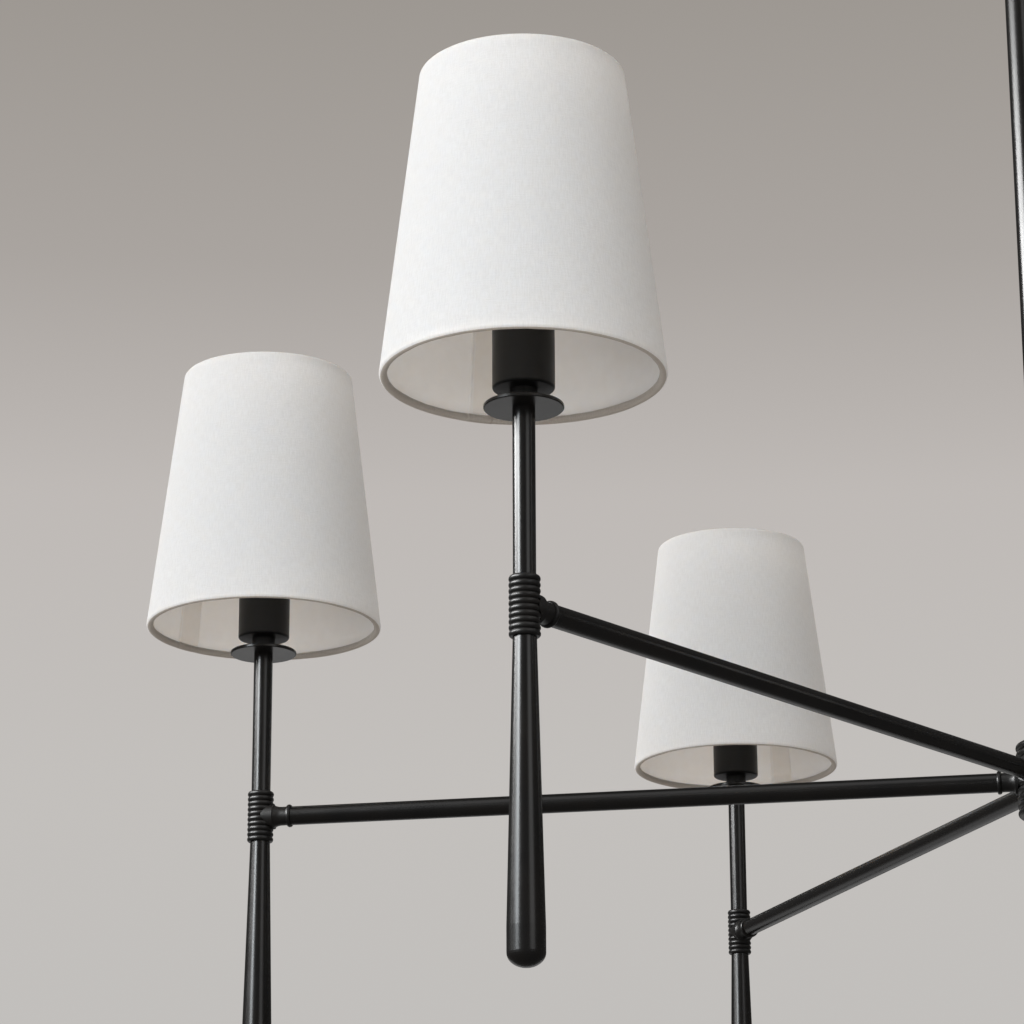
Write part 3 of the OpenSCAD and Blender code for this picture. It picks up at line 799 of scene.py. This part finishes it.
@dataclass
class LampShade:
    """Linen shade with a stiff liner, hems rolled round two ring wires and a lapped seam."""

    number: int
    seam_deg: float
    finishes: Finishes
    upper_radius: float = 50.8 * MM
    wall: float = 0.75 * MM
    hem_radius: float = 2.02 * MM
    hem_tuck: float = 0.5 * MM
    hem_back_deg: float = 105
    # Arc of the hem roll, in degrees round its section, that takes the darker hem cloth: painted shade where
    # the roll faces down and in
    hem_painted_shade_deg: tuple[float, float] = (148, 315)
    seam_lap: float = 16 * MM
    seam_step: float = 0.3 * MM
    seam_edge: float = 0.12 * MM
    seam_strip: float = 1.9 * MM
    hem_lap_turn_deg: float = -9.5
    hem_lap: float = 13 * MM
    hem_step: float = 0.25 * MM
    edge_wobble: tuple[tuple[int, float], ...] = ((2, 0.16 * MM), (3, 0.09 * MM), (5, 0.04 * MM))
    hem_wobble: tuple[tuple[int, float], ...] = (
        (7, 0.03), (11, 0.028), (17, 0.022), (29, 0.018), (43, 0.014), (61, 0.01)
    )
    columns: int = 240
    wall_steps: int = 28
    roll_step_deg: float = 12.5

    def __post_init__(self) -> None:
        """Takes the shade's place and lower edge from its CAD node."""
        low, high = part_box(f"shade_{self.number}")
        self.centre = lamp_axis(self.number, low.z)
        self.height = high.z - low.z
        self.lower_radius = (high.x - low.x) / 2
        self.points, self.parts = self.outline()

    def radius(self, z: float) -> float:
        """Outer radius at a height above the lower edge."""
        return self.lower_radius + (self.upper_radius - self.lower_radius) * z / self.height

    def hem(self, edge: Edge) -> tuple[list[Point], list[Cloth]]:
        """Section of a hem: linen rolled from the liner round the ring wire to the outer wall.

        Args:
            edge: The edge that it is on.

        Returns:
            The points in the order of the closed outline, and the cloth of the stretch after each.
        """
        lower = edge is Edge.LOWER
        end = self.hem_radius if lower else self.height - self.hem_radius
        centre = (self.radius(end) - self.hem_radius, self.hem_radius)
        steps = round((360 - self.hem_back_deg) / self.roll_step_deg)
        points = arc(centre, self.hem_radius, self.hem_back_deg, 360, steps)
        # Stretches inside that arc take the darker cloth, which paints the shade on the underside of the
        # roll
        shade_from, shade_to = self.hem_painted_shade_deg
        middles = [self.hem_back_deg + (i + 0.5) * (360 - self.hem_back_deg) / steps for i in range(steps)]
        cloth = [Cloth.HEM_SHADE if shade_from < m < shade_to else Cloth.LINEN for m in middles]
        if lower:
            return points, [*cloth, Cloth.LINEN]
        return [(r, self.height - z) for r, z in reversed(points)], [*reversed(cloth), Cloth.LINEN]

    def outline(self) -> tuple[list[Point], list[Cloth]]:
        """Closed outline of linen, hems and liner.

        Returns:
            The points from the outer lower edge up, over and down inside, and the cloth of the stretch
            after each.
        """
        low_z, high_z = self.hem_radius, self.height - self.hem_radius
        liner_low = 2 * self.hem_radius + self.hem_tuck
        outer = [(self.radius(z), z) for z in np.linspace(low_z, high_z, self.wall_steps + 1)][1:-1]
        heights = np.linspace(self.height - liner_low, liner_low, self.wall_steps + 1)
        inner = [(self.radius(z) - self.wall, z) for z in heights]
        upper, upper_cloth = self.hem(Edge.UPPER)
        lower, lower_cloth = self.hem(Edge.LOWER)
        inner_cloth = [Cloth.LINER] * (len(inner) - 1) + [Cloth.LINEN]
        cloth = [*[Cloth.LINEN] * len(outer), *upper_cloth, *inner_cloth, *lower_cloth]
        return [*outer, *upper, *inner, *lower], cloth

    def liner_rows(self) -> np.ndarray:
        """Which outline points lie on the liner."""
        chosen = np.array([part is Cloth.LINER for part in self.parts])
        return chosen | np.roll(chosen, 1)

    def marks(self) -> tuple[list[float], list[float]]:
        """Angles at which a lap starts or ends, with a close pair at each step.

        Returns:
            Those of the wall's seam, free edge first, and those of the hem.
        """
        seam = math.radians(self.seam_deg)
        hem = math.radians(self.seam_deg + self.hem_lap_turn_deg)
        step, strip = self.seam_edge / self.lower_radius, self.seam_strip / self.lower_radius
        lap, tape = self.seam_lap / self.lower_radius, self.hem_lap / self.lower_radius
        wall = [seam, seam - step, seam - strip, seam - lap, seam - lap - step]
        return wall, [hem, hem + step, hem + tape, hem + tape + step]

    def turns(self) -> np.ndarray:
        """Spaces the columns evenly, but for the close pairs at the laps.

        Returns:
            Their angles.
        """
        wall, hem = self.marks()
        even = np.linspace(0, math.tau, self.columns, endpoint=False)
        marks = np.mod([*wall, *hem], math.tau)
        gap = np.min(np.abs(even[:, None] - marks[None, :]), axis=1)
        clear = even[gap > self.seam_edge / self.lower_radius]
        return np.sort(np.concatenate([clear, marks]))

    def lap_share(self, turn: np.ndarray, start_deg: float, length: float) -> np.ndarray:
        """How far each angle lies on a lap: 0 beside it, 1 on it.

        Args:
            turn: Angles in radians.
            start_deg: Where the lap starts.
            length: Its length round the lower edge, negative for a lap that runs backwards.

        Returns:
            The share at each angle.
        """
        offset = np.mod(turn - math.radians(start_deg) + math.pi, math.tau) - math.pi
        along = offset * self.lower_radius * math.copysign(1, length)
        rise = np.clip(along / self.seam_edge, 0, 1)
        return rise - np.clip((along - abs(length)) / self.seam_edge, 0, 1)

    def uneven(
        self, turn: np.ndarray, row: np.ndarray, r: np.ndarray, z: np.ndarray
    ) -> tuple[np.ndarray, np.ndarray]:
        """Hand-made unevenness: a lapped seam, slightly oval edges and hems of varying fullness.

        Args:
            turn: Angle of each point.
            row: Outline point of each point.
            r: Radius of each point.
            z: Height of each point.

        Returns:
            New radii and heights.
        """
        lap = self.lap_share(turn, self.seam_deg, -self.seam_lap)
        tape = self.lap_share(turn, self.seam_deg + self.hem_lap_turn_deg, self.hem_lap)
        liner = self.liner_rows()[row]
        mid_z = np.where(z < self.height / 2, self.hem_radius, self.height - self.hem_radius)
        mid_r = self.radius(mid_z) - self.hem_radius
        rolled = ~liner & (np.abs(z - mid_z) <= self.hem_radius) & (np.abs(r - mid_r) <= self.hem_radius)
        inward = np.clip(0.5 - 0.5 * (r - mid_r) / self.hem_radius, 0, 1)
        fullness = ripple(turn, self.hem_wobble, self.number + len(LAMPS))
        grow = 1 + rolled * inward * (fullness + tape * self.hem_step / self.hem_radius)
        r, z = mid_r + (r - mid_r) * grow, mid_z + (z - mid_z) * grow
        return r - liner * lap * self.seam_step + ripple(turn, self.edge_wobble, self.number), z

    def paint(self, shade: bpy.types.Object, angles: np.ndarray) -> None:
        """Gives the lap of the liner its darker cloth, painted shade, but for a strip at its free edge.

        Args:
            shade: The shade, whose faces run column by column.
            angles: Angles of its columns.
        """
        offset = np.mod(np.radians(self.seam_deg) - angles, math.tau) * self.lower_radius
        rows = len(self.points)
        start, end = self.seam_strip + self.seam_edge / 2, self.seam_lap + self.seam_edge / 2
        for column in np.flatnonzero((start < offset) & (offset < end)):
            for row, part in enumerate(self.parts):
                if part is Cloth.LINER:
                    shade.data.polygons[column * rows + row].material_index = Cloth.LAP_SHADE.value

    def build(self) -> None:
        """Makes the shade, attaches it to its lampshade body and hides its CAD node."""
        angles = self.turns()
        parts = [part.value for part in self.parts]
        lathe = Lathe(f"linen_shade_{self.number}", self.points, angles, parts, self.uneven)
        shade = lathe.build(self.centre, WEAVE_UV)
        cloths = self.finishes
        for material in (cloths.linen, cloths.liner, cloths.hem, cloths.lap):
            shade.data.materials.append(material)
        self.paint(shade, angles)
        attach(shade, f"lampshade_{self.number}")
        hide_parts(f"shade_{self.number}")


@dataclass
class Metalwork:
    """Arms, collars, stems, batons, hub, rod and ceiling end: CAD pieces in their finishes."""

    finishes: Finishes
    bronze_nodes: tuple[str, ...] = (
        "canopy", "lock_ring", "swivel_head", "swivel_knuckle", "downrod", "hub_baton", "drip_discs",
    )
    bronze_pieces: tuple[str, ...] = ("arm", "stem", "baton")
    nipple_radius: float = 5 * MM
    nipple_pitch: float = 1 * MM
    nipple_depth: float = 0.28 * MM
    nipple_top: float = -2.9 * MM
    nipple_thread: float = 20 * MM
    slot_width: float = 1.3 * MM
    slot_depth: float = 0.9 * MM

    def add_thread(self) -> None:
        """Winds the thread of the nipple, from the canopy's floor up to the strap."""
        ridge = Thread(
            "nipple_thread", self.nipple_radius, self.nipple_thread, self.nipple_pitch, self.nipple_depth
        )
        made = ridge.build(Vector((0, 0, self.nipple_top - self.nipple_thread)))
        self.finish_steel(made, "ceiling_mount")

    def add_pivots(self) -> None:
        """Cuts screwdriver slots into the heads of the two pivot screws."""
        low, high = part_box("swivel_pins")
        across = high.z - low.z
        cutter = bmesh.new()
        for x in (low.x, high.x):
            size = Matrix.Diagonal((2 * self.slot_depth, 2 * across, self.slot_width, 1))
            bmesh.ops.create_cube(cutter, matrix=Matrix.Translation((x, 0, (low.z + high.z) / 2)) @ size)
        mesh = bpy.data.meshes.new("slots")
        cutter.to_mesh(mesh)
        cutter.free()
        slots = linked("slots", mesh)
        whole = linked("whole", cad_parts["swivel_pins"].data.copy())
        cut = whole.modifiers.new("slots", "BOOLEAN")
        cut.operation, cut.solver, cut.object = "DIFFERENCE", "EXACT", slots
        seen = whole.evaluated_get(bpy.context.evaluated_depsgraph_get())
        made = linked("pivot_screws", bpy.data.meshes.new_from_object(seen))
        for scrap in (slots, whole):
            bpy.data.objects.remove(scrap)
        self.finish_steel(made, "swivel")
        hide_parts("swivel_pins")

    def finish_steel(self, piece: bpy.types.Object, body: str) -> None:
        """Dresses a new steel piece.

        Args:
            piece: The piece.
            body: Body that it moves with.
        """
        piece.data.materials.clear()
        piece.data.materials.append(self.finishes.steel)
        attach(piece, body)
        LOG.info("%s: %s", piece.name, self.finishes.steel.name)

    def build(self) -> None:
        """Dresses the metal pieces and adds the small screws and threads."""
        lamp_nodes = [f"{piece}_{k}" for piece in self.bronze_pieces for k in LAMPS]
        self.finishes.dress(self.finishes.bronze, *self.bronze_nodes, *lamp_nodes)
        self.finishes.dress(self.finishes.ribbed, "hub", "arm_bells", *[f"collar_{k}" for k in LAMPS])
        self.finishes.dress(self.finishes.steel, "mounting_strap", "nipple", "swivel_pins")
        self.add_thread()
        self.add_pivots()


@dataclass
class Electrics:
    """Lampholders, bulbs, shade carriers and wiring."""

    finishes: Finishes
    nut_radius: float = 17 * MM
    nut_bore: float = 14.05 * MM
    nut_edge: float = 0.9 * MM
    nut_grips: int = 24
    grip_depth: float = 0.7 * MM
    grip_steps: int = 10
    crease_deg: float = 40
    skirt_radius: float = 14 * MM
    skirt_above_nut: float = 10.5 * MM
    skirt_pitch: float = 2 * MM
    skirt_depth: float = 0.5 * MM
    skirt_margin: float = 1.2 * MM

    def grip(
        self, turn: np.ndarray, row: np.ndarray, r: np.ndarray, z: np.ndarray
    ) -> tuple[np.ndarray, np.ndarray]:
        """Hollows finger grips into the rim of a ring nut.

        Args:
            turn: Angle of each point.
            row: Outline point of each point.
            r: Radius of each point.
            z: Height of each point.

        Returns:
            New radii and heights.
        """
        hollow = np.clip(np.cos(self.nut_grips * turn), 0, 1)
        return r - (r > self.nut_bore) * hollow * self.grip_depth, z

    def add_nuts(self) -> None:
        """Makes the ring nuts with their finger grips."""
        low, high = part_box("shade_ring_nuts")
        top, r, edge = high.z - low.z, self.nut_radius, self.nut_edge
        outline = [(r, 0), (r, top - edge), (r - edge, top), (self.nut_bore, top), (self.nut_bore, 0)]
        angles = np.linspace(0, math.tau, self.nut_grips * self.grip_steps, endpoint=False)
        nuts = [
            Lathe(f"nut_{k}", outline, angles, uneven=self.grip).build(lamp_axis(k, low.z)) for k in LAMPS
        ]
        made = joined("grip_ring_nuts", nuts)
        made.data.set_sharp_from_angle(angle=math.radians(self.crease_deg))
        self.finish_holder(made)
        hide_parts("shade_ring_nuts")

    def add_threads(self) -> None:
        """Winds the threads that the ring nuts run on."""
        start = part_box("shade_ring_nuts")[1].z + self.skirt_margin
        length = self.skirt_above_nut - 2 * self.skirt_margin
        ridges = [
            Thread(f"ridge_{k}", self.skirt_radius, length, self.skirt_pitch, self.skirt_depth).build(
                lamp_axis(k, start)
            )
            for k in LAMPS
        ]
        self.finish_holder(joined("lampholder_threads", ridges))

    def finish_holder(self, piece: bpy.types.Object) -> None:
        """Dresses a new black plastic piece, which hangs with the lampholders.

        Args:
            piece: The piece.
        """
        piece.data.materials.append(self.finishes.holder)
        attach(piece, "hanger")
        LOG.info("%s: %s", piece.name, self.finishes.holder.name)

    def build(self) -> None:
        """Dresses the electric pieces and adds the ring nuts and their threads."""
        self.finishes.dress(self.finishes.holder, "shade_ring_nuts", *[f"socket_{k}" for k in LAMPS])
        self.finishes.dress(self.finishes.wire, *[f"shade_frame_{k}" for k in LAMPS])
        self.finishes.dress(self.finishes.opal, "bulb_glass")
        self.finishes.dress(self.finishes.cap, "bulb_caps")
        self.finishes.dress(self.finishes.cover, "wires")
        self.finishes.dress(self.finishes.block, "terminal_block")
        self.add_nuts()
        self.add_threads()


class Reach(Enum):
    """Which surfaces show a light panel."""

    MATT = "matt"
    GLOSS = "gloss"


@dataclass(frozen=True)
class Panel:
    """A soft light panel that faces the lamps, sized by the angles that it fills."""

    name: str
    reach: Reach
    turn_deg: float
    rise_deg: float
    width_deg: float
    height_deg: float
    radiance: float
    colour: Colour = (1.0, 1.0, 1.0)
    distance: float = 2.6

    def build(self, target: Vector, front_deg: float) -> None:
        """Makes the light.

        Args:
            target: Point that the panel faces.
            front_deg: Azimuth from the lamps to the camera, from which the panel's turn counts to the right.
        """
        turn, rise = math.radians(front_deg + self.turn_deg), math.radians(self.rise_deg)
        away = Vector((math.cos(turn) * math.cos(rise), math.sin(turn) * math.cos(rise), math.sin(rise)))
        data = bpy.data.lights.new(self.name, "AREA")
        data.shape = "RECTANGLE"
        data.size = 2 * self.distance * math.tan(math.radians(self.width_deg / 2))
        data.size_y = 2 * self.distance * math.tan(math.radians(self.height_deg / 2))
        data.energy = self.radiance * math.pi * data.size * data.size_y
        data.color = self.colour
        made = bpy.data.objects.new(self.name, data)
        made.location = target + away * self.distance
        made.rotation_mode = "QUATERNION"
        made.rotation_quaternion = (-away).to_track_quat("-Z", "Y")
        made.visible_camera = False
        made.visible_glossy = self.reach is Reach.GLOSS
        made.visible_diffuse = self.reach is Reach.MATT
        bpy.context.scene.collection.objects.link(made)


@dataclass
class Studio:
    """Camera at the photograph's angle, plain floor, soft light from the left."""

    eye: Vector = field(default_factory=lambda: Vector((0.063, -2.0098, -1.1189)))
    heading_deg: float = 100.6
    pitch_deg: float = 17.83
    roll_deg: float = -0.21
    lens: float = 126.9
    clip_end: float = 100.0
    floor_z: float = -2.6
    floor_size: float = 90.0
    floor_colour: Colour = (0.7, 0.685, 0.67)
    floor_roughness: float = 0.85
    floor_lift: float = 0.36
    target: Vector = field(default_factory=lambda: Vector((-0.3, -0.2, -0.5)))
    ambient: Colour = (0.466, 0.437, 0.407)
    ambient_low: Colour = (0.265, 0.245, 0.226)
    mirrored: Colour = (0.08, 0.0776, 0.0752)
    backdrop_stops: tuple[tuple[float, Colour], ...] = (
        (0.0, (0.52, 0.515, 0.505)), (0.235, (0.545, 0.525, 0.505)), (0.31, (0.52, 0.49, 0.47)),
        (0.37, (0.4, 0.372, 0.35)), (0.44, (0.335, 0.31, 0.285)),
    )
    panels: tuple[Panel, ...] = (
        Panel("key", Reach.MATT, -35, 11, 68, 62, 2.05, (0.96, 0.982, 1.005), 2.2),
        Panel("front_low", Reach.MATT, 14, -26, 34, 26, 0.95, (1.0, 0.985, 0.965), 1.2),
        Panel("back_left", Reach.MATT, -124, 10, 60, 50, 1.22, (1.0, 0.985, 0.97)),
        Panel("back", Reach.MATT, 176, 6, 100, 50, 0.85, (1.0, 0.98, 0.96)),
        Panel("key_gloss", Reach.GLOSS, -74.5, 24.5, 53, 15, 31),
        Panel("low_gloss", Reach.GLOSS, -51, 11.5, 19, 11, 13, (0.9, 0.96, 1.0)),
        Panel("side_gloss", Reach.GLOSS, 35, 18, 26, 36, 1.2),
        Panel("top_gloss", Reach.GLOSS, 20, 66, 90, 40, 0.7),
        Panel("far_gloss", Reach.GLOSS, 180, -24, 60, 30, 0.4),
    )

    def build(self) -> None:
        """Makes the camera, the floor, the lights and the backdrop."""
        self.camera()
        self.floor()
        self.backdrop()
        for panel in self.panels:
            panel.build(self.target, self.heading_deg + 180)
        bpy.context.scene.view_settings.view_transform = "Standard"

    def camera(self) -> None:
        """Makes the camera."""
        heading, pitch, roll = (math.radians(a) for a in (self.heading_deg, self.pitch_deg, self.roll_deg))
        level = math.cos(pitch)
        ahead = Vector((math.cos(heading) * level, math.sin(heading) * level, math.sin(pitch)))
        right = Vector((math.sin(heading), -math.cos(heading), 0))
        up = right.cross(ahead)
        turned_right = right * math.cos(roll) + up * math.sin(roll)
        turned_up = up * math.cos(roll) - right * math.sin(roll)
        made = bpy.data.objects.new("camera", bpy.data.cameras.new("camera"))
        axes = Matrix((turned_right, turned_up, -ahead)).transposed()
        made.matrix_world = Matrix.Translation(self.eye) @ axes.to_4x4()
        made.data.lens = self.lens
        made.data.clip_end = self.clip_end
        bpy.context.scene.collection.objects.link(made)
        bpy.context.scene.camera = made

    def floor(self) -> None:
        """Makes the plain pale floor."""
        half = self.floor_size / 2
        mesh = bpy.data.meshes.new("floor")
        corners = [(-half, -half, 0), (half, -half, 0), (half, half, 0), (-half, half, 0)]
        mesh.from_pydata(corners, [], [(0, 1, 2, 3)])
        graph = Graph("pale_floor")
        graph.set(Base_Color=self.floor_colour, Roughness=self.floor_roughness)
        graph.set(Emission_Color=self.floor_colour, Emission_Strength=self.floor_lift)
        mesh.materials.append(graph.material)
        made = linked("floor", mesh)
        made.location.z = self.floor_z
        made.visible_glossy = made.visible_diffuse = False

    def backdrop(self) -> None:
        """Makes the surround: a warm grey backdrop, and the even light that it gives."""
        world = bpy.data.worlds.new("surround")
        bpy.context.scene.world = world
        world.use_nodes = True
        nodes, links = world.node_tree.nodes, world.node_tree.links
        height, place = nodes.new("ShaderNodeSeparateXYZ"), nodes.new("ShaderNodeTexCoord")
        ramp, path = nodes.new("ShaderNodeValToRGB"), nodes.new("ShaderNodeLightPath")
        stops = ramp.color_ramp.elements
        for stop in self.backdrop_stops[2:]:
            stops.new(0.5)
        for stop, (position, colour) in zip(stops, self.backdrop_stops):
            stop.position, stop.color = position, (*colour, 1)
        links.new(place.outputs["Generated"], height.inputs["Vector"])
        links.new(height.outputs["Z"], ramp.inputs["Fac"])
        share = nodes.new("ShaderNodeMapRange")
        share.inputs["From Min"].default_value = -1
        links.new(height.outputs["Z"], share.inputs["Value"])
        # The camera sees the backdrop, glossy surfaces a dim room, and matt ones its even light
        around, lit, seen = (nodes.new("ShaderNodeMix") for _ in range(3))
        for mix in (around, lit, seen):
            mix.data_type = "RGBA"
        around.inputs[MIX_FIRST].default_value = (*self.ambient_low, 1)
        around.inputs[MIX_SECOND].default_value = (*self.ambient, 1)
        lit.inputs[MIX_SECOND].default_value = (*self.mirrored, 1)
        links.new(share.outputs["Result"], around.inputs["Factor"])
        links.new(around.outputs[MIX_RESULT], lit.inputs[MIX_FIRST])
        links.new(path.outputs["Is Glossy Ray"], lit.inputs["Factor"])
        links.new(path.outputs["Is Camera Ray"], seen.inputs["Factor"])
        links.new(lit.outputs[MIX_RESULT], seen.inputs[MIX_FIRST])
        links.new(ramp.outputs["Color"], seen.inputs[MIX_SECOND])
        links.new(seen.outputs[MIX_RESULT], nodes["Background"].inputs["Color"])
        world.cycles.sampling_method = "NONE"


def main() -> None:
    """Builds the sub-assemblies in order, logging the finish of each dressed node and new small piece."""
    logging.basicConfig(level=logging.INFO, format="%(message)s")
    Studio().build()
    finishes = Finishes()
    Metalwork(finishes).build()
    Electrics(finishes).build()
    for k in LAMPS:
        LampShade(k, SEAMS_DEG[k], finishes).build()


if __name__ == "__main__":
    main()
